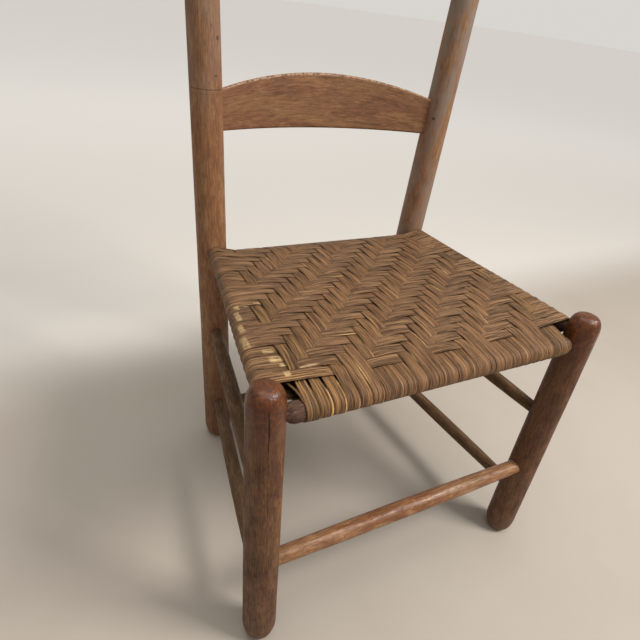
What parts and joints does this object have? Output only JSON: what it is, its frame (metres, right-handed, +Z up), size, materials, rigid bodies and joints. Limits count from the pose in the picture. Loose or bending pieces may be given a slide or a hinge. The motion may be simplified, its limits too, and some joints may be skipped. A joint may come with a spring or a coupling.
{
  "type": "ladderback chair",
  "caption": "Armless side chair with round leaning posts, arched back slats, round rungs and a seat of woven flat splints in a stepped twill.",
  "frame": {"origin": "on the floor, at the middle of the chair's outline seen from above", "axes": "+Z up, +Y from the front of the seat to the back, +X to the right of someone who faces the chair"},
  "size_m": [0.4918, 0.4528, 1.0643],
  "materials": {
    "post_wood": "worn oil and wax over hand-shaved hardwood",
    "rung_wood": "worn oil and wax over hand-shaved hardwood",
    "rail_wood": "rough-shaved bare hardwood",
    "slat_wood": "worn oil and wax over steam-bent hardwood",
    "pin_wood": "dark hand-whittled peg",
    "splint": "aged split wood or inner bark, satin"
  },
  "bodies": {
    "root": {"left_front_post": "post_wood", "left_rear_post": "post_wood", "left_lower_rung": "rung_wood", "left_upper_rung": "rung_wood", "left_seat_rail": "rail_wood", "right_front_post": "post_wood", "right_rear_post": "post_wood", "right_lower_rung": "rung_wood", "right_upper_rung": "rung_wood", "right_seat_rail": "rail_wood", "front_rung": "rung_wood", "rear_rung": "rung_wood", "front_seat_rail": "rail_wood", "rear_seat_rail": "rail_wood", "lower_slat": "slat_wood", "middle_slat": "slat_wood", "top_slat": "slat_wood", "slat_pins": "pin_wood", "seat_front_to_back_splints": "splint", "seat_filler_splints": "splint", "seat_side_to_side_splints": "splint"}
  },
  "joints": []
}
